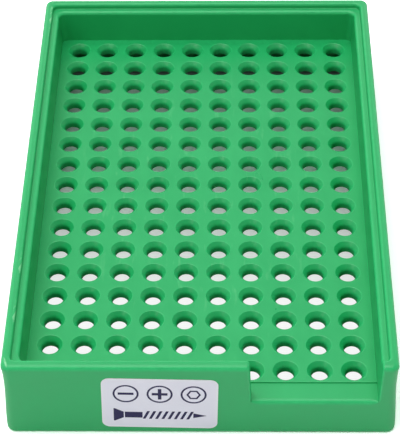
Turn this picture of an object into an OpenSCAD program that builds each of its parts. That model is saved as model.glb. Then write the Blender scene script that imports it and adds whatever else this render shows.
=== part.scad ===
// Screw organizer tray: a moulded frame with a stepped rim and a pour notch, a countersunk
// hole plate that sits on a shelf inside it, and a self-adhesive label on the front wall.
// Millimetres, +Z up, front at -Y, origin at the middle of the base.

/* [Screw holes] */
// Number of hole columns across the tray
hole_cols = 10; // [8:1:14]
// Number of hole rows from back to front
hole_rows = 16; // [6:1:22]
// Distance between hole centres, both ways
hole_pitch = 8.8; // [8:0.1:11]
// Diameter of the straight part that takes the screw shank
hole_d = 4.4; // [2:0.1:4.8]
// Diameter of the countersink at the top face
sink_d = 6.8; // [5.6:0.1:7.2]
// Full angle of the countersink cone, in degrees
sink_angle = 90; // [70:5:120]

/* [Hole plate] */
// Thickness of the plate
plate_t = 3.0; // [2.6:0.1:5]
// Left column centre to the plate's left edge
left_margin = 5.5; // [4:0.1:8]
// Right column centre to the plate's right edge
right_margin = 5.6; // [4:0.1:8]
// First row centre to the plate's back edge
back_margin = 5.1; // [4:0.1:8]
// Last row centre to the plate's front edge
front_margin = 3.9; // [3.6:0.1:8]
// Corner radius of the plate's outline
plate_corner_r = 1.4; // [0.5:0.1:3]
// Rounding of the plate's top edge
plate_edge_r = 0.25; // [0.1:0.05:0.8]
// Clearance between the plate and the pocket, each side
plate_gap = 0.1; // [0.05:0.01:0.3]

/* [Frame] */
// Overall height
tray_h = 24.7; // [22:0.1:32]
// Height of the plate's top face above the base
plate_z = 12.5; // [9:0.1:15]
// Outer corner radius at the base
corner_r = 2.4; // [2:0.1:6]
// Inward lean of the outer walls over the full height
outer_draft = 0.25; // [0:0.05:0.9]
// Widening of the well from its foot to the rim ledge
well_draft = 0.4; // [0:0.05:1]
// Thickness of the ridge along the left and right walls
ridge_t = 2.4; // [1.6:0.05:4]
// Thickness of the ridge along the back wall
back_ridge_t = 2.8; // [1.6:0.05:4]
// Height of the ridge above the ledge inside it
ridge_h = 1.7; // [1:0.05:4]
// Width of the ledge inside the ridge
ledge_w = 1.95; // [1:0.05:5]
// Corner radius inside the ridge
ridge_corner_r = 1.8; // [0.5:0.1:4]
// Rounding of the outer top edge
top_r = 1.4; // [0.3:0.1:1.5]
// Rounding of the outer bottom edge
base_r = 0.8; // [0.2:0.1:1.2]
// Thickness of the skirt below the plate
skirt_t = 2.2; // [1.6:0.1:3.4]
// Corner radius inside the skirt
skirt_corner_r = 1.2; // [0.5:0.1:4]
// Width of the shelf under the plate's edge
shelf_w = 1.2; // [0.8:0.1:1.3]
// Thickness of the shelf
shelf_t = 2.0; // [1.2:0.1:3]

/* [Front wall and pour notch] */
// Thickness of the front wall at its top
front_wall_t = 3.1; // [2:0.1:5]
// Width of the sill between the plate and the foot of the front wall
sill_w = 2.65; // [1.5:0.05:6]
// Step from the plate's top face down to the sill
sill_drop = 0.4; // [0.2:0.05:1.5]
// Rounding of the sill's outer edge
sill_r = 1.3; // [0.3:0.1:1.8]
// Width of the notch at the sill, from the right-hand well wall
notch_w = 32.2; // [15:0.1:36]
// Rounding of the wall's top corner beside the notch
notch_r = 0.8; // [0.3:0.1:4]

/* [Label] */
// Width of the label
label_w = 29.6; // [16:0.2:34]
// Height of the label
label_h = 18.6; // [10:0.2:20]
// Thickness of the label
label_t = 0.15; // [0.1:0.05:0.5]
// Corner radius of the label
label_corner_r = 2.1; // [0.5:0.1:4]
// Label's right edge to the left end of the notch
label_notch_gap = 8.5; // [4:0.1:14]
// Label's lower edge above the base
label_base = 2.2; // [1.4:0.1:3]
// Turn of the label on the wall, in degrees
label_turn = -1.4; // [-2:0.1:2]
// Thickness of the adhesive film behind the label
adhesive_t = 0.03; // [0.02:0.01:0.1]

/* [Hidden] */
$fn = 48;

// How far a cutting shape runs past the face that it opens
over = 1;

frame_color = [0.25, 0.71, 0.45];
plate_color = [0.27, 0.73, 0.46];
label_color = [0.85, 0.85, 0.9];

// Plate and the pocket that it drops into
plate_w = (hole_cols - 1) * hole_pitch + left_margin + right_margin;
plate_l = (hole_rows - 1) * hole_pitch + front_margin + back_margin;
pocket_w = plate_w + 2 * plate_gap;
pocket_l = plate_l + 2 * plate_gap;
pocket_corner_r = plate_corner_r + plate_gap;

// Outside of the frame at the base
tray_w = pocket_w + 2 * (well_draft + ledge_w + ridge_t + outer_draft);
tray_l = front_wall_t + sill_w + pocket_l + ledge_w + back_ridge_t + 2 * (well_draft + outer_draft);
front_y = -tray_l / 2;
back_y = tray_l / 2;
lean = atan(outer_draft / tray_h);

// Levels
sink_depth = (sink_d - hole_d) / 2 / tan(sink_angle / 2);
ledge_z = tray_h - ridge_h;
seat_z = plate_z - plate_t;
sill_z = plate_z - sill_drop;

// Places along the length
wall_foot_y = front_y + outer_draft + front_wall_t + well_draft;
pocket_y0 = wall_foot_y + sill_w;
pocket_y1 = pocket_y0 + pocket_l;
plate_y0 = pocket_y0 + plate_gap;
plate_y1 = plate_y0 + plate_l;
ridge_in_y = pocket_y1 + well_draft + ledge_w;
ridge_in_x = pocket_w / 2 + well_draft + ledge_w;
first_hole = [left_margin - plate_w / 2, plate_y1 - back_margin];
notch_x1 = pocket_w / 2;
notch_x0 = notch_x1 - notch_w;

// Outline from [x0, y0] to [x1, y1] with round corners
module round_rect(x0, y0, x1, y1, r) {
  translate([x0 + r, y0]) square([x1 - x0 - 2 * r, y1 - y0]);
  translate([x0, y0 + r]) square([x1 - x0, y1 - y0 - 2 * r]);
  for (x = [x0 + r, x1 - r], y = [y0 + r, y1 - r]) translate([x, y]) circle(r);
}

// Upright block on a round-cornered outline
module round_block(x0, y0, x1, y1, r, z0, z1) {
  translate([0, 0, z0]) linear_extrude(z1 - z0) round_rect(x0, y0, x1, y1, r);
}

// Block whose edge profile, the 2D child, is carried round a rectangle with corners of radius r.
// The profile starts at the corner's axis, x = 0, and fills z0 to z1 there.
module profiled_block(x0, y0, x1, y1, r, z0, z1) {
  xs = x1 - x0 - 2 * r;
  ys = y1 - y0 - 2 * r;
  translate([x0 + r, y0 + r, z0]) cube([xs, ys, z1 - z0]);
  translate([x1 - r, y1 - r, 0]) rotate([90, 0, 0]) linear_extrude(ys) children();
  translate([x0 + r, y0 + r, 0]) rotate([90, 0, 180]) linear_extrude(ys) children();
  translate([x0 + r, y1 - r, 0]) rotate([90, 0, 90]) linear_extrude(xs) children();
  translate([x1 - r, y0 + r, 0]) rotate([90, 0, -90]) linear_extrude(xs) children();
  translate([x1 - r, y1 - r, 0]) rotate_extrude(angle = 90) children();
  translate([x0 + r, y1 - r, 0]) rotate([0, 0, 90]) rotate_extrude(angle = 90) children();
  translate([x0 + r, y0 + r, 0]) rotate([0, 0, 180]) rotate_extrude(angle = 90) children();
  translate([x1 - r, y0 + r, 0]) rotate([0, 0, 270]) rotate_extrude(angle = 90) children();
}

// Sliver between a sharp corner at the origin, which opens towards -x and -y, and its rounding
module corner_cut(r) {
  translate([-r, -r]) difference() {
    square(r + over);
    circle(r);
  }
}

// Leaning outer face of the frame, with its top and bottom edges rounded
module outer_profile() {
  difference() {
    polygon([[0, 0], [corner_r, 0], [corner_r - outer_draft, tray_h], [0, tray_h]]);
    translate([corner_r - outer_draft, tray_h]) rotate(lean / 2) corner_cut(top_r);
    translate([corner_r, 0]) rotate(lean / 2) mirror([0, 1]) corner_cut(base_r);
  }
}

// Leaning wall of the well, from the sill up to the ledge
module well_profile(r) {
  polygon([[0, sill_z], [r, sill_z], [r + well_draft, ledge_z], [0, ledge_z]]);
}

// Opening of the notch seen from the front: it widens like the well, and the wall's top corner is round
module notch_profile() {
  left = notch_x0 - well_draft;
  right = notch_x1 + well_draft;
  polygon([
    [notch_x0, sill_z],
    [notch_x1, sill_z],
    [right, ledge_z],
    [right, tray_h + over],
    [left, tray_h + over],
    [left, ledge_z],
  ]);
  translate([left, tray_h]) corner_cut(notch_r);
}

// Everything that the frame's block is hollowed out by
module frame_hollows() {
  skirt_x = tray_w / 2 - skirt_t;
  skirt_y = tray_l / 2 - skirt_t;
  window_x = pocket_w / 2 - plate_gap - shelf_w;
  // Space inside the skirt, open at the base
  round_block(-skirt_x, -skirt_y, skirt_x, skirt_y, skirt_corner_r, -over, seat_z - shelf_t);
  // Window inside the shelf
  round_block(-window_x, plate_y0 + shelf_w, window_x, plate_y1 - shelf_w, plate_corner_r,
              seat_z - shelf_t - over, seat_z + over);
  // Pocket of the plate
  round_block(-pocket_w / 2, pocket_y0, pocket_w / 2, pocket_y1, pocket_corner_r,
              seat_z, sill_z + over);
  // Well above the plate and the sill
  profiled_block(-pocket_w / 2, wall_foot_y, pocket_w / 2, pocket_y1, pocket_corner_r, sill_z, ledge_z)
    well_profile(pocket_corner_r);
  // Step of the rim
  round_block(-ridge_in_x, wall_foot_y - well_draft, ridge_in_x, ridge_in_y, ridge_corner_r,
              ledge_z, tray_h + over);
  // Pour notch through the front wall
  translate([0, pocket_y0, 0]) rotate([90, 0, 0])
    linear_extrude(pocket_y0 - front_y + over) notch_profile();
  // Rounded outer edge of the sill
  translate([notch_x0, front_y + outer_draft * sill_z / tray_h, sill_z])
    rotate([90, 0, 90]) linear_extrude(notch_w) rotate(-lean / 2) mirror([1, 0]) corner_cut(sill_r);
}

module tray_frame() {
  color(frame_color) difference() {
    profiled_block(-tray_w / 2, front_y, tray_w / 2, back_y, corner_r, 0, tray_h) outer_profile();
    frame_hollows();
  }
}

// Countersunk screw hole through a plate whose underside is at z = 0
module screw_hole() {
  rotate_extrude() polygon([
    [0, -over],
    [hole_d / 2, -over],
    [hole_d / 2, plate_t - sink_depth],
    [sink_d / 2, plate_t],
    [sink_d / 2, plate_t + over],
    [0, plate_t + over],
  ]);
}

// Edge of the plate, with its top corner rounded
module plate_profile() {
  difference() {
    square([plate_corner_r, plate_t]);
    translate([plate_corner_r, plate_t]) corner_cut(plate_edge_r);
  }
}

module hole_plate() {
  color(plate_color) translate([0, 0, seat_z]) difference() {
    profiled_block(-plate_w / 2, plate_y0, plate_w / 2, plate_y1, plate_corner_r, 0, plate_t)
      plate_profile();
    for (col = [0 : hole_cols - 1], row = [0 : hole_rows - 1])
      translate([first_hole[0] + col * hole_pitch, first_hole[1] - row * hole_pitch, 0]) screw_hole();
  }
}

module size_label() {
  label_x = notch_x0 - label_notch_gap - label_w / 2;
  color(label_color) translate([label_x, front_y, 0]) rotate([-lean, 0, 0])
    translate([0, -adhesive_t, label_base + label_h / 2]) rotate([90, 0, 0]) rotate(label_turn)
      linear_extrude(label_t)
        round_rect(-label_w / 2, -label_h / 2, label_w / 2, label_h / 2, label_corner_r);
}

tray_frame();
hole_plate();
size_label();
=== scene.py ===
"""Screw organizer tray: moulded frame, countersunk hole plate and printed label, in green satin plastic."""
import math

import bmesh
import bpy
import numpy as np
from mathutils import Matrix, Vector


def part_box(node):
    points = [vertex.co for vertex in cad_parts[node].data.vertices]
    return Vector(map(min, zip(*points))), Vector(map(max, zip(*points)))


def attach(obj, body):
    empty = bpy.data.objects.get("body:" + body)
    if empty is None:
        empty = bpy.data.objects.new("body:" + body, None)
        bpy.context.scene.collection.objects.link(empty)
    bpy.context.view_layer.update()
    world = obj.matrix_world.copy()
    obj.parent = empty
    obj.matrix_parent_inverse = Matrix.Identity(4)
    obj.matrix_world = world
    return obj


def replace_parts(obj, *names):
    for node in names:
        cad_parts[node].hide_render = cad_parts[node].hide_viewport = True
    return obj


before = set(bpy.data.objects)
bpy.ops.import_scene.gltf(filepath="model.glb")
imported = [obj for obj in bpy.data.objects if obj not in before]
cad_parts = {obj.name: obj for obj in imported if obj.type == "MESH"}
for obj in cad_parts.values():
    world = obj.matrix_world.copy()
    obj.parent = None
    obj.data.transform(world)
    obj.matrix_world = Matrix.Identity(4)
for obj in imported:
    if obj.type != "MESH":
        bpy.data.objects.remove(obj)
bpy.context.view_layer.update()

# Sections are in millimetres, meshes in metres
MM = 0.001

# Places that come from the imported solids
tray_lo, tray_hi = (np.array(corner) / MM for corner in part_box("tray_frame"))
plate_lo, plate_hi = (np.array(corner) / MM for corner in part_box("hole_plate"))
label_lo, label_hi = (np.array(corner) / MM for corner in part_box("size_label"))

# Frame: walls, rim and shelf
TRAY_H = tray_hi[2]
OUTER_DRAFT = 0.25
WELL_DRAFT = 0.4
CORNER_R = 2.4
BASE_R = 0.8
TOP_R = 1.4
RIDGE_T = 2.4
BACK_RIDGE_T = 2.8
RIDGE_H = 1.7
RIDGE_CORNER_R = 1.8
RIDGE_FRONT_R = 1.0
RIDGE_EDGE_R = 0.95
LEDGE_W = 1.95
LEDGE_FOOT_R = 0.3
LEDGE_EDGE_R = 1.1
WELL_FRONT_R = 3.0
SKIRT_T = 2.2
SKIRT_CORNER_R = 1.2
SHELF_W = 1.2
SHELF_T = 2.0
PLATE_GAP = 0.1
PLATE_CORNER_R = 1.4
LEAN = math.atan(OUTER_DRAFT / TRAY_H)

# Frame: how far the side walls draw in between foot and rim, and levels of the outer face's rings
WAIST = 0.42
WAIST_FOOT = 3.0
WAIST_BEND = 1.5
LOW_LEVELS = (WAIST_FOOT, 5.0, 7.0, 9.0)
HIGH_LEVELS = (15.0, 17.0, 19.0, 20.5, 22.0)

# Frame: front wall, sill and pour notch. SILL_RUN_OUT pairs the distance from the notch's end with the radius
# of the sill's edge there
FRONT_WALL_T = 3.1
SILL_W = 2.65
SILL_DROP = 0.4
SILL_R = 1.3
NOTCH_W = 32.2
NOTCH_LEFT_R = 0.8
NOTCH_RIGHT_R = 0.7
SILL_RUN_OUT = ((0.0, 0.2), (0.5, 0.7), (1.1, 1.1), (2.0, SILL_R))

# Frame: steps of its rounded corners and edges
CORNER_STEPS = 8
BASE_STEPS = 5
TOP_STEPS = 8
EDGE_STEPS = 6
FOOT_STEPS = 3
SILL_STEPS = 8
NOTCH_STEPS = 4

# Levels
PLATE_Z = plate_hi[2]
SEAT_Z = plate_lo[2]
SILL_Z = PLATE_Z - SILL_DROP
LEDGE_Z = TRAY_H - RIDGE_H
SHELF_LOW_Z = SEAT_Z - SHELF_T
SILL_ARC_Z = SILL_Z - SILL_R + SILL_R * math.sin(LEAN)

# Screw holes: straight part, countersink at 45 degrees and the roundings between them
HOLE_COLS = 10
HOLE_ROWS = 16
HOLE_PITCH = 8.8
HOLE_R = 2.2
SINK_R = 3.4
SINK_DEPTH = 1.2
SINK_SLOPE_DEG = 45
SINK_RIM_R = 0.35
SINK_RIM_STEPS = 3
SHANK_RIM_R = 1.6
SHANK_RIM_STEPS = 4
# Share of wear and painted highlight on the shank's rounding
SHANK_RIM_WEAR_AND_HIGHLIGHT = 0.4
SIDES_PER_EDGE = 6

# Edges of the hole plate
LEFT_MARGIN = 5.5
BACK_MARGIN = 5.1
FRONT_EDGE_R = 0.25
SEATED_EDGE_R = 0.05
PLATE_EDGE_STEPS = 3
SEATED_DEPTH = 0.06
SEAM_CLOSING = 0.05
NOTCH_CORNER_R = 0.2

# Label
LABEL_W = 29.6
LABEL_H = 18.6
LABEL_CORNER_R = 2.1
LABEL_T = 0.15
LABEL_BASE = 2.2
LABEL_TURN = math.radians(-1.4)
LABEL_EDGE_R = 0.06
LABEL_EDGE_STEPS = 3
LABEL_FACE_RINGS = (1.2, 0.35)
LABEL_BORDER_WEAR = 0.25
ADHESIVE_T = 0.03

# Print on the label: screw heads in a row above a screw
INK_T = 0.012
INK_SUNK = 0.01
HEADS_UP = 3.7
HEAD_SPACING = 8.6
HEAD_OUTER_R = 3.3
HEAD_INNER_R = 2.8
HEAD_SIDES = 48
SLOT_REACH = 2.0
SLOT_HALF = 0.42
CROSS_REACH = 2.0
CROSS_HALF = 0.45
HEXAGON_OUTER_R = 1.85
HEXAGON_INNER_R = 1.3
SCREW_UP = -4.4

# Meshes
TINY = 1e-9
MERGE_DISTANCE = 1e-6
FLAT_DISTANCE = 1e-7
SHARP_ANGLE = math.radians(38)
FLAT_WEIGHT = 90

# Colours, linear
TRAY_GREEN = (0.014, 0.435, 0.128, 1)
# Pale green of worn edges, also painted on the roundings as highlight
PALE_GREEN = (0.03, 0.63, 0.20, 1)
CHALKY_GREEN = (0.30, 0.80, 0.42, 1)
LAVENDER = (0.84, 0.84, 0.94, 1)
CUT_WHITE = (0.92, 0.92, 0.96, 1)
INK_BLUE = (0.014, 0.011, 0.075, 1)
THIN_INK = (0.06, 0.05, 0.17, 1)
WHITE = (1, 1, 1, 1)

# Patterns: features per metre and how strongly each one counts
CLOUD_SCALE = 75.0
FLOW_SCALE = 420.0
FLOW_STRETCH = (1.0, 0.22, 1.0)
FLOW_SHARE = 0.5
UNEVEN_MEAN = 0.75
GRAIN_SCALE = 3200.0
FLOW_RELIEF = 0.6
# Noise that breaks up the edges' wear and painted highlight
WEAR_AND_HIGHLIGHT_SCALE = 520.0
WEAR_AND_HIGHLIGHT_GAIN, WEAR_AND_HIGHLIGHT_FLOOR = 1.2, 0.1
SCUFF_GAIN = 9.0
SCUFF_FADE = {"From Min": 1.0, "From Max": 0.5}
THIN_INK_SCALE = 2600.0
THIN_INK_GAIN, THIN_INK_FLOOR = 0.5, -0.2

# Plastic: uneven gloss, and relief as depth in mm and strength
PLASTIC_GLOSS_SPREAD = 0.24
PLASTIC_RELIEF = (0.012, 0.35)
FILM_RELIEF = (0.006, 0.3)
INK_SPECULAR = 0.3

# Scuffs in metres: a knock on the front left corner, flecks along the left ridge, marks on the plate
CORNER_KNOCK = {"Centre": (-0.04872, -0.07405, 0.0246), "Reach": (0.00034, 0.0019, 0.0012),
                "Stretch": (900.0, 500.0, 700.0), "Turn": -0.30, "Threshold": 0.36}
RIDGE_FLECKS = [
    {"Centre": (-0.04792, along, 0.0245), "Reach": (0.0005, reach, 0.0009),
     "Stretch": (1200.0, 330.0, 1200.0), "Threshold": 0.46}
    for along, reach in ((-0.0575, 0.0055), (-0.040, 0.0055), (0.067, 0.010))
]
PLATE_MARKS = {"Centre": (0.0, 0.0, 0.0124), "Reach": (0.045, 0.07, 0.001),
               "Stretch": (420.0, 90.0, 420.0), "Threshold": 0.6}
KNOCK_SHARE = 0.75
FLECK_SHARE = 0.8
MARK_SHARE = 0.14

# Floor: half its width in metres, how white the camera sees it and how much light it gives back. Under the
# tray the ramps run along Y in metres: painted shade, dim and a little green behind; painted glow, bright in
# front
FLOOR_HALF = 3.0
FLOOR_SEEN = (1.7, 1.7, 1.7, 1)
FLOOR_BOUNCE = 0.94
UNDER_BOUNCE = 0.4
UNDER_TINT = (0.93, 1.25, 1.1)
UNDER_BACK = {"From Min": 0.072, "From Max": 0.062, "To Min": 0.05, "To Max": 0.68}
UNDER_MIDDLE = {"From Min": 0.062, "From Max": 0.024, "To Max": 0.5}
UNDER_FRONT = {"From Min": 0.0225, "From Max": -0.0315, "To Max": 0.9}

# Light: surroundings along Y from front to back, and lamps with width, height, place (metres) and watts
SURROUNDINGS = {"From Min": -0.7, "From Max": 0.5, "To Min": 0.15, "To Max": 0.64}
LAMPS = (
    ("top_soft_box", 1.06, 1.06, (-0.2, -0.02, 1.0), 8.5),
    ("key_lamp", 0.24, 0.24, (-0.62, -0.5, 0.62), 0.4),
    ("back_strip", 1.4, 0.3, (0.0, 1.0, 0.36), 1.6),
    ("front_reflector", 1.2, 0.22, (0.0, -0.7, 0.12), 0.6),
)

# Camera, worked out from the rows and columns of holes in a picture of 400 by 434. The sensor's size goes
# along the picture's height
IMAGE_H = 434
FOCAL_PIXELS = 1744.8
SENSOR_MM = 36
NEAREST = 0.01
CAMERA_AT = np.array([8.80, -362.71, 353.34])
CAMERA_ELEVATION = math.radians(43.94)
CAMERA_YAW = -0.02757
CAMERA_ROLL = -0.01907


# Sections and meshes


def grid_faces(rows, cols, wrap_rows=False, wrap_cols=False, first=0):
    """Quads of a grid numbered row by row, as an array of rows by columns by four corners.

    Each quad joins a point, its neighbour in the row and the two points in the next row.
    """
    row = np.arange(rows if wrap_rows else rows - 1)[:, None]
    col = np.arange(cols if wrap_cols else cols - 1)[None, :]
    next_row = (row + 1) % rows
    next_col = (col + 1) % cols
    corners = np.broadcast_arrays(
        row * cols + col, row * cols + next_col, next_row * cols + next_col, next_row * cols + col
    )
    return first + np.stack(corners, axis=-1)


def arc(centre_in, centre_up, radius, start, stop, steps):
    """Arc of a wall section: centre plus radius times cosine (inwards) and sine (up), angles in degrees."""
    angle = np.radians(np.linspace(start, stop, steps + 1))
    return centre_in + radius * np.cos(angle), centre_up + radius * np.sin(angle)


def towards_centre(start, stop, steps):
    """Directions, inwards and up, from the points of an arc to its centre: minus cosine and minus sine."""
    angle = np.radians(np.linspace(start, stop, steps + 1))
    return -np.cos(angle), -np.sin(angle)


def along_arc(steps):
    """Half a sine wave over an arc's points: 0 where it meets the flats, 1 in its middle."""
    return np.sin(np.linspace(0, math.pi, steps + 1))


def leaning_arc(top, radius, steps):
    """Arc between the leaning outer face and a flat top at that height."""
    centre_up = top - radius
    centre_in = OUTER_DRAFT * centre_up / TRAY_H + radius / math.cos(LEAN)
    return arc(centre_in, centre_up, radius, 180 - math.degrees(LEAN), 90, steps)


def ring_corners(half_x, front, back, radii, steps):
    """Four rounded corners of a stack of rings, anticlockwise from the front left.

    Each corner point is the corner's axis plus its radius times cosine and sine over a quarter turn.
    The arrays are corner points by rings.
    """
    quarter = np.linspace(0, math.pi / 2, steps + 1)[:, None]
    starts = (math.pi, 1.5 * math.pi, 0, 0.5 * math.pi)
    corners = zip(starts, (-1, 1, 1, -1), (front, front, back, back), (1, 1, -1, -1), radii)
    xs, ys = [], []
    for start, side, edge, inward, radius in corners:
        xs.append(side * (half_x - radius) + radius * np.cos(start + quarter))
        ys.append(edge + inward * radius + radius * np.sin(start + quarter))
    return np.concatenate(xs), np.concatenate(ys)


def make_piece(name, points, faces, material, wear_and_highlight=None):
    """Mesh piece from points in mm: doubles merged, normals outwards, sharp edges kept, smooth elsewhere.

    The value per point that the material reads is wear and painted highlight.
    """
    mesh = bpy.data.meshes.new(name)
    mesh.from_pydata(points * MM, [], faces)
    if wear_and_highlight is not None:
        mesh.attributes.new("wear_and_highlight", "FLOAT", "POINT").data.foreach_set("value", wear_and_highlight.astype(np.float32))
    work = bmesh.new()
    work.from_mesh(mesh)
    bmesh.ops.remove_doubles(work, verts=work.verts, dist=MERGE_DISTANCE)
    bmesh.ops.dissolve_degenerate(work, edges=work.edges, dist=FLAT_DISTANCE)
    bmesh.ops.recalc_face_normals(work, faces=work.faces)
    work.to_mesh(mesh)
    work.free()
    mesh.polygons.foreach_set("use_smooth", np.ones(len(mesh.polygons), bool))
    mesh.set_sharp_from_angle(angle=SHARP_ANGLE)
    piece = bpy.data.objects.new(name, mesh)
    bpy.context.scene.collection.objects.link(piece)
    mesh.materials.append(material)
    normals = piece.modifiers.new("flat faces stay flat", "WEIGHTED_NORMAL")
    normals.keep_sharp = True
    normals.weight = FLAT_WEIGHT
    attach(piece, "root")
    return piece


# Tray frame


def frame_sections():
    """Closed section of the frame's walls, from the skirt's inside foot out, over the rim and back.

    Returns one row per value and one column per ring: inset of the side walls, inset of the front wall,
    height, corner radius, whether the notch squares off the front right corner, wear and painted highlight,
    the direction (inwards and up) in which the front wall's section shrinks at the ends of the notch, and
    how much thicker the back wall is. With it come the indexes of the rings at the sill's outer and inner
    ends and at the rim's top.
    """
    ridge_in = OUTER_DRAFT + RIDGE_T
    front_in = OUTER_DRAFT + FRONT_WALL_T
    ledge_in = ridge_in + LEDGE_W
    well_in = ledge_in + WELL_DRAFT
    sill_in = front_in + WELL_DRAFT
    pocket_in = sill_in + SILL_W
    shelf_in = well_in + PLATE_GAP + SHELF_W
    shelf_front = pocket_in + PLATE_GAP + SHELF_W
    well_r = PLATE_CORNER_R + PLATE_GAP
    base_in = OUTER_DRAFT * BASE_R / TRAY_H + BASE_R / math.cos(LEAN)
    wall_low = SILL_Z + NOTCH_LEFT_R
    upright = 180 - math.degrees(LEAN)
    thicker = BACK_RIDGE_T - RIDGE_T
    rings = []

    def add(side, front, height, radius, square=0, wear_and_highlight=0, shrink_in=0, shrink_up=0, back=0):
        """Adds rings to the loop and returns the index of the last one."""
        values = np.atleast_1d(side, front, height, radius, square, wear_and_highlight, shrink_in, shrink_up, back)
        rings.append(np.stack(np.broadcast_arrays(*values)))
        return sum(part.shape[1] for part in rings) - 1

    def widening(height):
        """How far the well's wall stands out from its foot at that height."""
        return WELL_DRAFT * (LEDGE_Z - height) / (LEDGE_Z - SILL_Z)

    def add_outside(height, **values):
        """Rings of the outer face, whose side walls draw in by half a sine wave between foot and rim."""
        inset = OUTER_DRAFT * height / TRAY_H
        rise = np.clip((height - WAIST_FOOT) / (TRAY_H - WAIST_FOOT), 0, 1)
        drawn_in = WAIST * np.sin(math.pi * rise ** WAIST_BEND)
        return add(inset + drawn_in, inset, height, CORNER_R - inset, **values)

    add(SKIRT_T, SKIRT_T, 0, SKIRT_CORNER_R)
    inset, up = arc(base_in, BASE_R, BASE_R, 270, upright, BASE_STEPS)
    add(inset, inset, up, CORNER_R - inset, wear_and_highlight=along_arc(BASE_STEPS))
    add_outside(np.array(LOW_LEVELS))
    outer_end = add_outside(SILL_ARC_Z)
    add_outside(np.array((wall_low,) + HIGH_LEVELS), shrink_in=1)
    inset, up = leaning_arc(TRAY_H, TOP_R, TOP_STEPS)
    top_end = add(inset, inset, up, CORNER_R - inset, 0, along_arc(TOP_STEPS),
                  *towards_centre(upright, 90, TOP_STEPS))
    inset, up = arc(ridge_in - RIDGE_EDGE_R, TRAY_H - RIDGE_EDGE_R, RIDGE_EDGE_R, 90, 0, EDGE_STEPS)
    add(inset, inset + front_in - ridge_in, up, RIDGE_CORNER_R + ridge_in - inset, 0, along_arc(EDGE_STEPS),
        *towards_centre(90, 0, EDGE_STEPS), thicker)
    inset, up = arc(ridge_in + LEDGE_FOOT_R, LEDGE_Z + LEDGE_FOOT_R, LEDGE_FOOT_R, 180, 270, FOOT_STEPS)
    add(inset, front_in, up, RIDGE_CORNER_R + ridge_in - inset, shrink_in=-1, back=thicker)
    inset, up = arc(ledge_in - LEDGE_EDGE_R, LEDGE_Z - LEDGE_EDGE_R, LEDGE_EDGE_R, 90, 0, EDGE_STEPS)
    add(inset, front_in + widening(up), up, well_r + WELL_DRAFT + ledge_in - inset, 1, along_arc(EDGE_STEPS),
        shrink_in=-1, back=thicker)
    add(ledge_in + widening(wall_low), front_in + widening(wall_low), wall_low, well_r + widening(SILL_Z), 1,
        shrink_in=-1, back=thicker)
    inner_end = add(well_in, sill_in, SILL_Z, well_r, 1, back=thicker)
    add(well_in, pocket_in, SILL_Z, well_r, 1, back=thicker)
    add(well_in, pocket_in, SEAT_Z, well_r, 1, back=thicker)
    add(shelf_in, shelf_front, SEAT_Z, PLATE_CORNER_R, back=thicker)
    add(shelf_in, shelf_front, SHELF_LOW_Z, PLATE_CORNER_R, back=thicker)
    add(SKIRT_T, SKIRT_T, SHELF_LOW_Z, SKIRT_CORNER_R)
    return np.concatenate(rings, axis=1), outer_end, inner_end, top_end


def notch_end(end_x, side, radius, front, height, shrink_in, shrink_up):
    """Rounded end of the front wall: its section steps out to the end face and shrinks on a quarter circle.

    At an angle from 0 to 90 degrees a station stands radius times (1 - sine) behind the end face, and its
    section is drawn in by radius times (1 - cosine). The wall lies on that side of the end face.
    """
    angle = np.linspace(0, math.pi / 2, NOTCH_STEPS + 1)[:, None]
    drawn_in = radius * (1 - np.cos(angle))
    behind = radius * (1 - np.sin(angle))
    return end_x + side * behind, front + drawn_in * shrink_in, height + drawn_in * shrink_up


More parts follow.
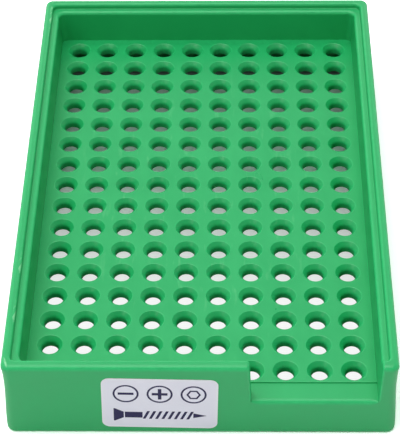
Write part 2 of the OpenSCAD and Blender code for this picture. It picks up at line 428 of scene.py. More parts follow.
def tray_frame(material):
    """Frame as a stack of rounded rectangles carried round the walls, one ring per point of the section.

    The grid is stations round the tray by rings. On the front side more stations stand at the ends of
    the notch: those of the wall's rounded ends, and a few with the wall's rings folded onto the sill,
    whose edge gets rounder away from the ends. The end faces of the notch are the polygons between the
    drawn-in and the folded rings.
    """
    section, outer_end, inner_end, top_end = frame_sections()
    side, front, height, radius, square, wear_and_highlight, shrink_in, shrink_up, back = section
    half_w = tray_hi[0] + OUTER_DRAFT * BASE_R / TRAY_H
    half_l = tray_hi[1] + OUTER_DRAFT * BASE_R / TRAY_H
    half_x = half_w - side
    on_ridge = (np.arange(len(height)) > top_end) & (square == 0) & (height >= LEDGE_Z)
    ridge_radius = radius - (RIDGE_CORNER_R - RIDGE_FRONT_R) * on_ridge
    rise = np.clip((height - SILL_Z) / (LEDGE_Z - SILL_Z), 0, 1)
    front_left = ridge_radius + (WELL_FRONT_R - PLATE_CORNER_R) * np.where(square > 0, rise, 0)
    front_right = np.where(square > 0, 0, ridge_radius)
    xs, ys = ring_corners(half_x, front - half_l, half_l - side - back,
                          (front_left, front_right, radius, radius), CORNER_STEPS)
    zs = np.broadcast_to(height, xs.shape)

    # Rings between the two ends of the sill lie folded on it: first round its edge, then at its inner end
    fold_away, fold_radius = (np.array(values) for values in zip(*SILL_RUN_OUT))
    folds = len(fold_away)
    edge_rings = outer_end + 1 + np.arange(SILL_STEPS + 1)
    fold_in, fold_up = (np.tile(values, (folds, 1)) for values in (front, height))
    fold_in[:, outer_end + 1:inner_end] = front[inner_end]
    fold_up[:, outer_end + 1:inner_end] = SILL_Z
    fold_in[:, edge_rings], fold_up[:, edge_rings] = leaning_arc(SILL_Z, fold_radius[:, None], SILL_STEPS)
    fold_in[:, outer_end], fold_up[:, outer_end] = fold_in[:, outer_end + 1], fold_up[:, outer_end + 1]

    def widening(level):
        """How far the notch stands out from its foot at that height."""
        return WELL_DRAFT * (np.maximum(level, fold_up[0, outer_end]) - SILL_Z) / (LEDGE_Z - SILL_Z)

    notch_right = half_x[inner_end]
    notch_left = notch_right - NOTCH_W
    left = notch_end(notch_left - widening(height), -1, NOTCH_LEFT_R, front, height, shrink_in, shrink_up)
    on_outside = np.arange(len(front)) <= top_end
    right = notch_end(notch_right + widening(height), 1, NOTCH_RIGHT_R, front, height,
                      shrink_in * on_outside, shrink_up)
    for _, end_in, end_up in (left, right):
        end_in[:, outer_end], end_up[:, outer_end] = fold_in[0, outer_end], fold_up[0, outer_end]
    fold_left = (notch_left + fold_away[:, None] - widening(fold_up), fold_in, fold_up)
    fold_right = (notch_right - fold_away[:, None] + widening(fold_up), fold_in, fold_up)
    ends_x, ends_in, ends_up = (
        np.concatenate([a, b, c[::-1], d[::-1]]) for a, b, c, d in zip(left, fold_left, fold_right, right)
    )
    ends_x = np.minimum(ends_x, half_x - front_right)

    # The stations of the notch stand between the two front corners
    split = CORNER_STEPS + 1
    points = np.stack([
        np.concatenate([around[:split], ends, around[split:]])
        for around, ends in ((xs, ends_x), (ys, ends_in - half_l), (zs, ends_up))
    ], axis=-1)
    stations, rings = points.shape[:2]
    left_cap = split + NOTCH_STEPS
    left_fold, right_fold, right_cap = left_cap + np.array([1, 2 * folds, 2 * folds + 1])

    # Wear and painted highlight of the edges, also round the ends of the notch and along the sill
    wear_and_highlight_ends = along_arc(NOTCH_STEPS)[:, None] * (np.hypot(shrink_in, shrink_up) > 0)
    wear_and_highlight = np.broadcast_to(wear_and_highlight, (stations, rings)).copy()
    for first in (split, right_cap):
        end = slice(first, first + NOTCH_STEPS + 1)
        wear_and_highlight[end] = np.maximum(wear_and_highlight[end], wear_and_highlight_ends)
    wear_and_highlight[left_fold:right_cap] = 0
    wear_and_highlight[left_fold:right_cap, edge_rings] = along_arc(SILL_STEPS)

    quads = grid_faces(stations, rings, wrap_rows=True, wrap_cols=True)
    kept = np.delete(quads, [left_cap, right_fold], axis=0).reshape(-1, 4)
    wall = np.arange(outer_end, inner_end + 1)
    folded = wall[-2:0:-1]
    caps = [
        np.concatenate([cap * rings + wall, fold * rings + folded]).tolist()
        for cap, fold in ((left_cap, left_fold), (right_cap, right_fold))
    ]
    return make_piece("tray_frame_moulding", points.reshape(-1, 3), kept.tolist() + caps, material,
                      wear_and_highlight=wear_and_highlight.reshape(-1))


# Hole plate


def hole_section():
    """Section of a countersunk hole from the top face down to the underside: radius, height, and wear with
    painted highlight.

    A rounding reaches along both of its faces by its radius times the tangent of half the turn.
    """
    half_turn = math.radians(SINK_SLOPE_DEG / 2)
    rim_reach = SINK_RIM_R * math.tan(half_turn)
    shank_reach = SHANK_RIM_R * math.tan(half_turn)
    slope = 90 + SINK_SLOPE_DEG
    shank_z = PLATE_Z - SINK_DEPTH
    rim = arc(SINK_R + rim_reach, PLATE_Z - SINK_RIM_R, SINK_RIM_R, 90, slope, SINK_RIM_STEPS)
    shank = arc(HOLE_R + SHANK_RIM_R, shank_z - shank_reach, SHANK_RIM_R, slope, 180, SHANK_RIM_STEPS)
    reach = np.concatenate([rim[0], shank[0], [HOLE_R]])
    height = np.concatenate([rim[1], shank[1], [SEAT_Z]])
    # Wear and painted highlight on the roundings of the rim and the shank
    wear_and_highlight = np.concatenate([along_arc(SINK_RIM_STEPS), SHANK_RIM_WEAR_AND_HIGHLIGHT * along_arc(SHANK_RIM_STEPS), [0]])
    return reach, height, wear_and_highlight


def plate_cells(edge_x, edge_y, hole_x, hole_y):
    """One cell per hole: the hole's section carried round, from a rectangle on top to the same one below.

    A cell's outer points run round its rectangle at even spacing, and its inner points round the hole at
    even angles, so neighbours share their edges.
    """
    reach, height, wear_and_highlight = hole_section()
    step = np.arange(SIDES_PER_EDGE) / SIDES_PER_EDGE
    sweep = 2 * step - 1
    one = np.ones(SIDES_PER_EDGE)
    walk_x = np.concatenate([sweep, one, -sweep, -one])
    walk_y = np.concatenate([-one, sweep, one, -sweep])
    front_left = math.radians(225)
    turn = front_left + np.arange(4 * SIDES_PER_EDGE) / (4 * SIDES_PER_EDGE) * 2 * math.pi

    col, row = (a.reshape(-1, 1) for a in np.meshgrid(np.arange(HOLE_COLS), np.arange(HOLE_ROWS)))
    mid_x, half_x = (edge_x[col] + edge_x[col + 1]) / 2, (edge_x[col + 1] - edge_x[col]) / 2
    mid_y, half_y = (edge_y[row] + edge_y[row + 1]) / 2, (edge_y[row + 1] - edge_y[row]) / 2
    cell_x = (mid_x + half_x * walk_x)[:, None, :]
    cell_y = (mid_y + half_y * walk_y)[:, None, :]
    round_x = hole_x[col][:, None] + reach[:, None] * np.cos(turn)
    round_y = hole_y[row][:, None] + reach[:, None] * np.sin(turn)
    xs = np.concatenate([cell_x, round_x, cell_x], axis=1)
    ys = np.concatenate([cell_y, round_y, cell_y], axis=1)
    zs = np.broadcast_to(np.concatenate([[PLATE_Z], height, [SEAT_Z]])[:, None], xs.shape)
    cells, rings, around = xs.shape
    one_cell = grid_faces(rings, around, wrap_cols=True).reshape(-1, 4)
    faces = np.arange(cells)[:, None, None] * rings * around + one_cell
    wear_and_highlight = np.broadcast_to(np.concatenate([[0], wear_and_highlight, [0]])[:, None], xs.shape)
    return np.stack([xs, ys, zs], axis=-1).reshape(-1, 3), faces.reshape(-1, 4), wear_and_highlight.reshape(-1)


def plate_edge(edge_x, edge_y, first):
    """Strip round the plate's edge: top rounding, side and underside, through the cells' own edge points.

    Its points are the path round the plate plus, on each side, that side's rounding times a quarter
    circle. The front edge is rounder than the edges that lie against the frame.
    """
    step = np.arange(SIDES_PER_EDGE) / SIDES_PER_EDGE
    line_x = (edge_x[:-1, None] + np.diff(edge_x)[:, None] * step).reshape(-1)
    line_y = (edge_y[:-1, None] + np.diff(edge_y)[:, None] * step).reshape(-1)
    x0, x1, y0, y1 = edge_x[0], edge_x[-1], edge_y[0], edge_y[-1]
    path_x = np.concatenate([line_x, 0 * line_y + x1, [x1], line_x[:0:-1], 0 * line_y + x0])
    path_y = np.concatenate([0 * line_x + y0, line_y, 0 * line_x + y1, [y1], line_y[:0:-1]])
    reach_x = SEATED_EDGE_R * ((path_x == x1) * 1.0 - (path_x == x0))
    reach_y = SEATED_EDGE_R * (path_y == y1) - FRONT_EDGE_R * (path_y == y0)
    drop = np.where(path_y == y0, FRONT_EDGE_R, SEATED_EDGE_R)
    out, up = (values[:, None] for values in arc(0, 0, 1, 90, 0, PLATE_EDGE_STEPS))
    underside = np.full((1, len(path_x)), SEAT_Z)
    levels = np.concatenate([PLATE_Z - drop * (1 - up), underside, underside])
    out = np.concatenate([out, [[1], [0]]])
    strip = np.stack([path_x + out * reach_x, path_y + out * reach_y, levels], axis=-1)
    faces = grid_faces(len(out), len(path_x), wrap_cols=True, first=first).reshape(-1, 4)
    # Wear and painted highlight along the plate's top rounding
    wear_and_highlight = np.broadcast_to(np.concatenate([along_arc(PLATE_EDGE_STEPS), [0, 0]])[:, None], levels.shape)
    return strip.reshape(-1, 3), faces, wear_and_highlight.reshape(-1)


def round_outer_corners(flat, low, high, radius, notch_radius):
    """Draws the points of each corner square in towards the corner's axis, so that squares become circles.

    A point's place from the axis is scaled by its larger coordinate over its distance. The corner at the
    notch, front right, has a radius of its own.
    """
    at_notch = (flat[:, 0] > 0) & (flat[:, 1] < 0)
    radius = np.where(at_notch, notch_radius, radius)[:, None]
    axis = np.clip(flat, low + radius, high - radius)
    from_axis = flat - axis
    distance = np.maximum(np.hypot(from_axis[:, 0], from_axis[:, 1]), TINY)
    scale = np.abs(from_axis).max(axis=1) / distance
    return axis + from_axis * scale[:, None]


def hole_plate(material):
    """Plate as 160 hole cells inside a strip of edge, with its four outer corners drawn in to round ones.

    At the walls it is seated a hair deep, so that no gap shows there. The front edge keeps its seam. Along
    the back wall the top is painted paler: painted light that lifts the shade by the wall.
    """
    spread = PLATE_GAP + SEATED_DEPTH
    low = plate_lo[:2] - [spread, SEAM_CLOSING]
    high = plate_hi[:2] + spread
    hole_x = plate_lo[0] + LEFT_MARGIN + np.arange(HOLE_COLS) * HOLE_PITCH
    hole_y = plate_hi[1] - BACK_MARGIN - np.arange(HOLE_ROWS)[::-1] * HOLE_PITCH
    between_x, between_y = ((places[1:] + places[:-1]) / 2 for places in (hole_x, hole_y))
    edge_x = np.concatenate([[low[0] + SEATED_EDGE_R], between_x, [high[0] - SEATED_EDGE_R]])
    edge_y = np.concatenate([[low[1] + FRONT_EDGE_R], between_y, [high[1] - SEATED_EDGE_R]])
    cells, cell_faces, cell_wear_and_highlight = plate_cells(edge_x, edge_y, hole_x, hole_y)
    strip, strip_faces, strip_wear_and_highlight = plate_edge(edge_x, edge_y, len(cells))
    points = np.concatenate([cells, strip])
    # Painted light: the top along the back wall gets full paling, to lift the shade there
    painted_light_at_back = (points[:, 1] > edge_y[-1] - SEATED_EDGE_R) & (points[:, 2] > PLATE_Z - SINK_DEPTH)
    wear_and_highlight = np.where(painted_light_at_back, 1, np.concatenate([cell_wear_and_highlight, strip_wear_and_highlight]))
    points[:, :2] = round_outer_corners(points[:, :2], low, high, PLATE_CORNER_R + spread, NOTCH_CORNER_R)
    faces = np.concatenate([cell_faces, strip_faces]).tolist()
    return make_piece("hole_plate_moulding", points, faces, material, wear_and_highlight=wear_and_highlight)


# Label


def label_place(across, up, out):
    """Place on the front wall: across and up in the label's own turned axes, out along the wall's normal."""
    centre_x = (label_lo[0] + label_hi[0]) / 2
    front_y = tray_lo[1] - OUTER_DRAFT * BASE_R / TRAY_H
    turned_x = across * math.cos(LABEL_TURN) - up * math.sin(LABEL_TURN)
    turned_z = across * math.sin(LABEL_TURN) + up * math.cos(LABEL_TURN) + LABEL_BASE + LABEL_H / 2
    return np.stack([
        centre_x + turned_x,
        front_y + turned_z * math.sin(LEAN) - out * math.cos(LEAN),
        turned_z * math.cos(LEAN) + out * math.sin(LEAN),
    ], axis=-1)


def size_label(material):
    """Label as rounded rectangles that run from the middle of its face out over a soft edge to its back."""
    edge_in, edge_out = arc(0, LABEL_T - LABEL_EDGE_R, LABEL_EDGE_R, 90, 0, LABEL_EDGE_STEPS)
    inset = np.concatenate([[LABEL_H / 2, *LABEL_FACE_RINGS], LABEL_EDGE_R - edge_in, [0, LABEL_H / 2]])
    out = ADHESIVE_T + np.concatenate([[LABEL_T] * 3, edge_out, [0, 0]])
    wear_and_highlight = np.concatenate([[0, 0, LABEL_BORDER_WEAR], np.ones(LABEL_EDGE_STEPS + 1), [1, 0]])
    radius = np.maximum(LABEL_CORNER_R - inset, 0)
    half_y = LABEL_H / 2 - inset
    xs, ys = ring_corners(LABEL_W / 2 - inset, -half_y, half_y, (radius,) * 4, CORNER_STEPS)
    points = label_place(xs, ys, np.broadcast_to(out, xs.shape))
    stations, rings = xs.shape
    faces = grid_faces(stations, rings, wrap_rows=True).reshape(-1, 4).tolist()
    return make_piece("size_label_film", points.reshape(-1, 3), faces, material,
                      wear_and_highlight=np.broadcast_to(wear_and_highlight, xs.shape).reshape(-1))


def ink_patch(outline):
    """Closed flat patch of ink: the outline once at the ink's face and once inside the film, with caps.

    Points are across, up and level (1 at the face, 0 inside); faces are the sides and the two caps.
    """
    count = len(outline)
    points = np.concatenate([np.c_[outline, np.ones(count)], np.c_[outline, np.zeros(count)]])
    sides = grid_faces(2, count, wrap_cols=True).reshape(-1, 4)
    caps = np.stack([np.arange(count), np.arange(count, 2 * count)[::-1]])
    return points, (sides, caps)


def ink_ring(across, up, outer, inner, sides):
    """Closed flat ring of ink: a small rectangle of radius and level carried round a centre."""
    turn = np.linspace(0, 2 * math.pi, sides, endpoint=False)[:, None]
    reach = np.array([inner, outer, outer, inner])
    level = np.broadcast_to(np.array([1.0, 1, 0, 0]), (sides, 4))
    points = np.stack([across + reach * np.cos(turn), up + reach * np.sin(turn), level], axis=-1)
    return points.reshape(-1, 3), (grid_faces(sides, 4, wrap_rows=True, wrap_cols=True).reshape(-1, 4),)


def bar_outline(x0, x1, half):
    """Rectangle from one place to another, that much above and below the middle line."""
    return np.array([[x0, -half], [x1, -half], [x1, half], [x0, half]])


def cross_outline(reach, half):
    """Cross of two bars: twelve corners at plus or minus the reach and plus or minus the half width."""
    arm = np.array([[reach, -half], [reach, half], [half, half]])
    quarter_turn = np.array([[0, 1], [-1, 0]])
    return np.concatenate([arm @ np.linalg.matrix_power(quarter_turn, count) for count in range(4)])


def screw_outlines():
    """Outlines of a countersunk screw lying on its side: head, neck, point and thread strokes."""
    head_x, neck_x, thread_x, tip_x, end_x = -11.8, -9.2, -3.8, 8.6, 12.0
    head_half, neck_half, thread_half, tip_half = 2.4, 1.1, 1.5, 0.9
    head_rim, neck_gap, thread_gap = 0.35, 0.25, 0.6
    slant, stroke, pitch = 0.6, 0.72, 1.6
    rim_x = head_x + head_rim
    head = np.array([[head_x, -head_half], [rim_x, -head_half], [neck_x, -neck_half],
                     [neck_x, neck_half], [rim_x, head_half], [head_x, head_half]])
    neck = bar_outline(neck_x + neck_gap, thread_x - thread_gap, neck_half)
    point = np.array([[tip_x, -tip_half], [end_x, 0], [tip_x, tip_half]])
    stroke_shape = np.array([[-slant, -thread_half], [stroke - slant, -thread_half],
                             [stroke + slant, thread_half], [slant, thread_half]])
    strokes = [stroke_shape + [x, 0] for x in np.arange(thread_x, tip_x - thread_gap, pitch)]
    return [head, neck, point, *strokes]


def label_print(material):
    """Marks on the label: three screw heads with slot, cross and hexagon above a screw in side view."""
    parts = [ink_ring(across, HEADS_UP, HEAD_OUTER_R, HEAD_INNER_R, HEAD_SIDES)
             for across in (-HEAD_SPACING, 0, HEAD_SPACING)]
    parts.append(ink_patch(bar_outline(-SLOT_REACH, SLOT_REACH, SLOT_HALF) + [-HEAD_SPACING, HEADS_UP]))
    parts.append(ink_patch(cross_outline(CROSS_REACH, CROSS_HALF) + [0, HEADS_UP]))
    parts.append(ink_ring(HEAD_SPACING, HEADS_UP, HEXAGON_OUTER_R, HEXAGON_INNER_R, 6))
    parts += [ink_patch(outline + [0, SCREW_UP]) for outline in screw_outlines()]
    firsts = np.cumsum([0] + [len(points) for points, _ in parts])
    marks = np.concatenate([points for points, _ in parts])
    faces = []
    for first, (_, kinds) in zip(firsts, parts):
        for kind in kinds:
            faces += (first + kind).tolist()
    out = ADHESIVE_T + LABEL_T - INK_SUNK + marks[:, 2] * (INK_SUNK + INK_T)
    points = label_place(marks[:, 0], marks[:, 1], out)
    return make_piece("label_print", points, faces, material)


# Materials


def put(tree, kind, inputs=None, **settings):
    """Adds a node: settings are its properties, inputs set its sockets or link them to other sockets."""
    made = tree.nodes.new(kind)
    for key, value in settings.items():
        setattr(made, key, value)
    for key, value in (inputs or {}).items():
        if isinstance(value, bpy.types.NodeSocket):
            tree.links.new(value, made.inputs[key])
        else:
            made.inputs[key].default_value = value
    return made


def use_group(tree, group, inputs):
    """Places a shared group in a material, with that material's own values."""
    return put(tree, "ShaderNodeGroup", inputs, node_tree=group).outputs


def blend_colours(tree, share, under, over):
    """Mix of two colours by a share from 0 to 1; the numbers are the node's colour sockets."""
    return put(tree, "ShaderNodeMix", {0: share, 6: under, 7: over}, data_type="RGBA").outputs[2]


def calculate(tree, operation, *values, clamp=False):
    """One step of arithmetic on values or sockets."""
    inputs = dict(enumerate(values))
    return put(tree, "ShaderNodeMath", inputs, operation=operation, use_clamp=clamp).outputs[0]


def calculate_vector(tree, operation, first, second):
    """One step of arithmetic on two vectors."""
    return put(tree, "ShaderNodeVectorMath", {0: first, 1: second}, operation=operation).outputs[0]


def ramp(tree, value, limits):
    """Value carried from one range to another and held at its ends."""
    return put(tree, "ShaderNodeMapRange", {"Value": value, **limits}).outputs[0]


def noise(tree, place, scale, detail=2.0, roughness=0.5):
    """Noise from 0 to 1 at that many features per metre."""
    sockets = {"Vector": place, "Scale": scale, "Detail": detail, "Roughness": roughness}
    return put(tree, "ShaderNodeTexNoise", sockets).outputs[0]


def stretched(tree, place, factors):
    """Coordinates scaled per axis, which draws a pattern out along the axes with small factors."""
    return put(tree, "ShaderNodeMapping", {"Vector": place, "Scale": factors}).outputs[0]


def start_group(name, inputs, outputs):
    """Empty shader group with named sockets: the tree, the sockets that come in and those that go out."""
    tree = bpy.data.node_groups.new(name, "ShaderNodeTree")
    for in_out, sockets in (("INPUT", inputs), ("OUTPUT", outputs)):
        for label, kind in sockets.items():
            tree.interface.new_socket(label, in_out=in_out, socket_type="NodeSocket" + kind)
    return tree, tree.nodes.new("NodeGroupInput").outputs, tree.nodes.new("NodeGroupOutput").inputs


def moulded_skin_group():
    """Skin of a moulding: cloudy tone, flow lines along the length, uneven gloss and a fine grain."""
    tree, given, out = start_group(
        "moulded_skin",
        {"Place": "Vector", "Colour": "Color", "Tone": "Float", "Gloss": "Float", "Gloss Spread": "Float"},
        {"Colour": "Color", "Roughness": "Float", "Height": "Float"},
    )
    cloud = noise(tree, given["Place"], CLOUD_SCALE, detail=3.0, roughness=0.6)
    flow = noise(tree, stretched(tree, given["Place"], FLOW_STRETCH), FLOW_SCALE)
    grain = noise(tree, given["Place"], GRAIN_SCALE, detail=1.0)
    uneven = calculate(tree, "MULTIPLY_ADD", flow, FLOW_SHARE, cloud)
    uneven = calculate(tree, "SUBTRACT", uneven, UNEVEN_MEAN)
    tone = calculate(tree, "MULTIPLY_ADD", uneven, given["Tone"], 1.0)
    toned = put(tree, "ShaderNodeHueSaturation", {"Color": given["Colour"], "Value": tone})
    rough = calculate(tree, "MULTIPLY_ADD", uneven, given["Gloss Spread"], given["Gloss"], clamp=True)
    height = calculate(tree, "MULTIPLY_ADD", flow, FLOW_RELIEF, grain)
    tree.links.new(toned.outputs[0], out["Colour"])
    tree.links.new(rough, out["Roughness"])
    tree.links.new(height, out["Height"])
    return tree


def edge_wear_and_highlight_group():
    """Edges paled by handling wear and by painted highlight: the mesh's per-point value, broken up by noise.
    """
    tree, given, out = start_group(
        "edge_wear_and_highlight",
        {"Place": "Vector", "Colour": "Color", "Pale Colour": "Color", "Wear And Highlight": "Float", "Strength": "Float"},
        {"Colour": "Color"},
    )
    patchy = noise(tree, given["Place"], WEAR_AND_HIGHLIGHT_SCALE, detail=4.0, roughness=0.65)
    broken = calculate(tree, "MULTIPLY_ADD", patchy, WEAR_AND_HIGHLIGHT_GAIN, WEAR_AND_HIGHLIGHT_FLOOR, clamp=True)
    wear_and_highlight = calculate(tree, "MULTIPLY", given["Wear And Highlight"], broken)
    mask = calculate(tree, "MULTIPLY", wear_and_highlight, given["Strength"], clamp=True)
    tree.links.new(blend_colours(tree, mask, given["Colour"], given["Pale Colour"]), out["Colour"])
    return tree


def scuff_group():
    """Scuffs inside one stretch of the surface: drawn-out noise over a threshold, faded towards its ends."""
    tree, given, out = start_group(
        "scuffs",
        {"Place": "Vector", "Centre": "Vector", "Reach": "Vector", "Stretch": "Vector", "Turn": "Float",
         "Threshold": "Float"},
        {"Mask": "Float"},
    )
    offset = calculate_vector(tree, "SUBTRACT", given["Place"], given["Centre"])
    offset = put(tree, "ShaderNodeVectorRotate", {"Vector": offset, "Angle": given["Turn"]},
                 rotation_type="Z_AXIS").outputs[0]
    share = calculate_vector(tree, "DIVIDE", offset, given["Reach"])
    length = put(tree, "ShaderNodeVectorMath", {0: share}, operation="LENGTH").outputs["Value"]
    near = ramp(tree, length, SCUFF_FADE)
    drawn = calculate_vector(tree, "MULTIPLY", offset, given["Stretch"])
    streaks = noise(tree, drawn, 1.0, detail=3.0, roughness=0.6)
    over = calculate(tree, "SUBTRACT", streaks, given["Threshold"])
    over = calculate(tree, "MULTIPLY", over, SCUFF_GAIN, clamp=True)
    tree.links.new(calculate(tree, "MULTIPLY", over, near), out["Mask"])
    return tree


def new_material(name):
    """Material with its tree, its Principled shader and the object coordinates."""
    material = bpy.data.materials.new(name)
    material.use_nodes = True
    tree = material.node_tree
    place = put(tree, "ShaderNodeTexCoord").outputs["Object"]
    return material, tree, tree.nodes["Principled BSDF"], place


def mesh_wear_and_highlight(tree):
    """Value of wear and painted highlight that the mesh carries per point."""
    return put(tree, "ShaderNodeAttribute", attribute_name="wear_and_highlight").outputs["Fac"]


def add_relief(tree, shader, height, depth_mm, strength):
    """Relief on the surface, with its depth in millimetres."""
    bump = put(tree, "ShaderNodeBump", {"Height": height, "Distance": depth_mm * MM, "Strength": strength})
    tree.links.new(bump.outputs[0], shader.inputs["Normal"])


def green_plastic(name, groups, tone, gloss, wear_and_highlight_strength, scuffs):
    """Green satin plastic: moulded skin, edges paled by wear and painted highlight, and the listed scuffs,
    each with its share.
    """
    material, tree, shader, place = new_material(name)
    wear_and_highlight = mesh_wear_and_highlight(tree)
    skin = use_group(tree, groups["skin"], {"Place": place, "Colour": TRAY_GREEN, "Tone": tone,
                                            "Gloss": gloss, "Gloss Spread": PLASTIC_GLOSS_SPREAD})
    edges = use_group(tree, groups["edges"], {"Place": place, "Colour": skin["Colour"], "Wear And Highlight": wear_and_highlight,
                                              "Pale Colour": PALE_GREEN, "Strength": wear_and_highlight_strength})
    surface = edges["Colour"]
    for scuff, share in scuffs:
        mask = use_group(tree, groups["scuffs"], {"Place": place, **scuff})["Mask"]
        surface = blend_colours(tree, calculate(tree, "MULTIPLY", mask, share), surface, CHALKY_GREEN)
    tree.links.new(surface, shader.inputs["Base Color"])
    tree.links.new(skin["Roughness"], shader.inputs["Roughness"])
    add_relief(tree, shader, skin["Height"], *PLASTIC_RELIEF)
    return material


def label_film_material(groups):
    """Lavender white film: faint clouding, a fine coating grain and a paler cut edge."""
    material, tree, shader, place = new_material("label_lavender_film")
    wear_and_highlight = mesh_wear_and_highlight(tree)
    skin = use_group(tree, groups["skin"], {"Place": place, "Colour": LAVENDER, "Tone": 0.05,
                                            "Gloss": 0.42, "Gloss Spread": 0.12})
    edges = use_group(tree, groups["edges"], {"Place": place, "Colour": skin["Colour"], "Wear And Highlight": wear_and_highlight,
                                              "Pale Colour": CUT_WHITE, "Strength": 1.2})
    tree.links.new(edges["Colour"], shader.inputs["Base Color"])
    tree.links.new(skin["Roughness"], shader.inputs["Roughness"])
    add_relief(tree, shader, skin["Height"], *FILM_RELIEF)
    return material


def ink_material(groups):
    """Dark blue printing ink that lets a little of the film through where it lies thin."""
    material, tree, shader, place = new_material("label_blue_ink")
    skin = use_group(tree, groups["skin"], {"Place": place, "Colour": INK_BLUE, "Tone": 0.4,
                                            "Gloss": 0.5, "Gloss Spread": 0.1})
    patchy = noise(tree, place, THIN_INK_SCALE, detail=3.0, roughness=0.6)
    thin = calculate(tree, "MULTIPLY_ADD", patchy, THIN_INK_GAIN, THIN_INK_FLOOR, clamp=True)
    tree.links.new(blend_colours(tree, thin, skin["Colour"], THIN_INK), shader.inputs["Base Color"])
    tree.links.new(skin["Roughness"], shader.inputs["Roughness"])
    shader.inputs["Specular IOR Level"].default_value = INK_SPECULAR
    return material


# Stage: floor, light and camera


def floor_material():
    """Paper that the camera sees as white and that keeps the tray's shadow.

    Under the tray, where it shows through the holes, it has painted shade, dim and a little green at the
    back, and a painted glow that makes it bright at the front, and it gives back less light.
    """
    material = bpy.data.materials.new("white_paper")
    material.use_nodes = True
    tree = material.node_tree
    tree.nodes.clear()
    place = put(tree, "ShaderNodeTexCoord").outputs["Object"]
    axes = put(tree, "ShaderNodeSeparateXYZ", {0: place}).outputs
    within_x, within_y = (
        calculate(tree, "LESS_THAN", calculate(tree, "ABSOLUTE", axes[axis]), (half - SKIRT_T) * MM)
        for axis, half in (("X", tray_hi[0]), ("Y", tray_hi[1]))
    )
    under = calculate(tree, "MULTIPLY", within_x, within_y)
    # Painted shade under the tray: dim at the back, tinted green as by light through the green plastic
    painted_shade_under_tray = calculate(tree, "ADD", ramp(tree, axes["Y"], UNDER_BACK), ramp(tree, axes["Y"], UNDER_MIDDLE))
    painted_green_shade = put(tree, "ShaderNodeVectorMath", {0: UNDER_TINT, "Scale": painted_shade_under_tray}, operation="SCALE")
    # Painted glow: white that the camera sees under the front holes
    painted_glow_share = calculate(tree, "MULTIPLY", ramp(tree, axes["Y"], UNDER_FRONT), under)
    shade = blend_colours(tree, under, FLOOR_SEEN, painted_green_shade.outputs[0])
    paper = put(tree, "ShaderNodeBsdfDiffuse", {"Color": shade})
    painted_glow = put(tree, "ShaderNodeEmission", {"Color": WHITE, "Strength": 1.0})
    seen = put(tree, "ShaderNodeMixShader", {0: painted_glow_share, 1: paper.outputs[0], 2: painted_glow.outputs[0]})
    bounce = put(tree, "ShaderNodeMix", {"Factor": under, "A": FLOOR_BOUNCE, "B": UNDER_BOUNCE}).outputs[0]
    lit = put(tree, "ShaderNodeBsdfDiffuse", {"Color": bounce})
    to_camera = put(tree, "ShaderNodeLightPath").outputs["Is Camera Ray"]
    surface = put(tree, "ShaderNodeMixShader", {0: to_camera, 1: lit.outputs[0], 2: seen.outputs[0]})
    put(tree, "ShaderNodeOutputMaterial", {"Surface": surface.outputs[0]})
    return material


def white_floor():
    """Wide flat floor that the tray stands on."""
    mesh = bpy.data.meshes.new("studio_floor")
    corners = [(x * FLOOR_HALF, y * FLOOR_HALF, 0) for x, y in ((-1, -1), (1, -1), (1, 1), (-1, 1))]
    mesh.from_pydata(corners, [], [(0, 1, 2, 3)])
    mesh.materials.append(floor_material())
    floor = bpy.data.objects.new("studio_floor", mesh)
    bpy.context.scene.collection.objects.link(floor)


def soft_box(name, width, height, place, watts):
    """Rectangular lamp of that size in metres, turned towards the tray."""
    lamp = bpy.data.lights.new(name, "AREA")
    lamp.shape = "RECTANGLE"
    lamp.size = width
    lamp.size_y = height
    lamp.energy = watts
    box = bpy.data.objects.new(name, lamp)
    bpy.context.scene.collection.objects.link(box)
    box.location = place
    towards = Vector((0, 0, TRAY_H * MM / 2)) - Vector(place)
    box.rotation_euler = towards.to_track_quat("-Z", "Y").to_euler()


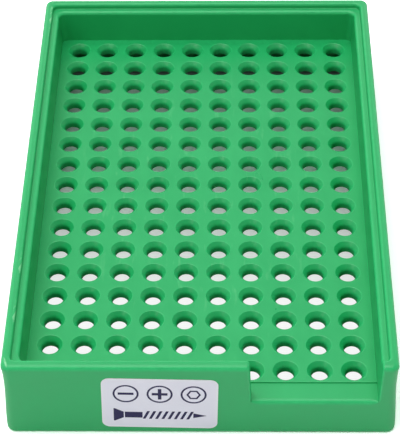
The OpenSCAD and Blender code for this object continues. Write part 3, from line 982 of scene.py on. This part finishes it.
def studio_light():
    """Pale surroundings that darken towards the front, and the lamps.

    Where there is no floor behind the tray, the camera sees white.
    """
    world = bpy.data.worlds.new("studio_surroundings")
    bpy.context.scene.world = world
    world.use_nodes = True
    tree = world.node_tree
    direction = put(tree, "ShaderNodeTexCoord").outputs["Generated"]
    backwards = put(tree, "ShaderNodeSeparateXYZ", {0: direction}).outputs["Y"]
    level = ramp(tree, backwards, SURROUNDINGS)
    seen = calculate(tree, "MAXIMUM", level, put(tree, "ShaderNodeLightPath").outputs["Is Camera Ray"])
    tree.nodes["Background"].inputs["Color"].default_value = WHITE
    tree.links.new(seen, tree.nodes["Background"].inputs["Strength"])
    for lamp in LAMPS:
        soft_box(*lamp)


def photo_camera():
    """Camera at the photograph's place, its axes turned by yaw, elevation and roll."""
    flat, down = math.cos(CAMERA_ELEVATION), math.sin(CAMERA_ELEVATION)
    forward = np.array([math.sin(CAMERA_YAW) * flat, math.cos(CAMERA_YAW) * flat, -down])
    right = np.array([math.cos(CAMERA_YAW), -math.sin(CAMERA_YAW), 0])
    up = np.cross(right, forward)
    rolled_right = math.cos(CAMERA_ROLL) * right + math.sin(CAMERA_ROLL) * up
    rolled_up = -math.sin(CAMERA_ROLL) * right + math.cos(CAMERA_ROLL) * up
    data = bpy.data.cameras.new("photo_camera")
    data.sensor_width = SENSOR_MM
    data.lens = FOCAL_PIXELS * SENSOR_MM / IMAGE_H
    data.clip_start = NEAREST
    camera = bpy.data.objects.new("photo_camera", data)
    bpy.context.scene.collection.objects.link(camera)
    place = np.eye(4)
    place[:3] = np.column_stack([rolled_right, rolled_up, -forward, CAMERA_AT * MM])
    camera.matrix_world = Matrix(place)
    bpy.context.scene.camera = camera


bpy.context.scene.view_settings.view_transform = "Standard"
white_floor()
studio_light()
photo_camera()

shared_groups = {"skin": moulded_skin_group(), "edges": edge_wear_and_highlight_group(), "scuffs": scuff_group()}
frame_scuffs = [(CORNER_KNOCK, KNOCK_SHARE)] + [(flecks, FLECK_SHARE) for flecks in RIDGE_FLECKS]
frame_green = green_plastic("frame_green_plastic", shared_groups, tone=0.12, gloss=0.38, wear_and_highlight_strength=0.7,
                            scuffs=frame_scuffs)
plate_green = green_plastic("plate_green_plastic", shared_groups, tone=0.18, gloss=0.34, wear_and_highlight_strength=0.6,
                            scuffs=[(PLATE_MARKS, MARK_SHARE)])

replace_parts(tray_frame(frame_green), "tray_frame")
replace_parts(hole_plate(plate_green), "hole_plate")
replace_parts(size_label(label_film_material(shared_groups)), "size_label")
label_print(ink_material(shared_groups))
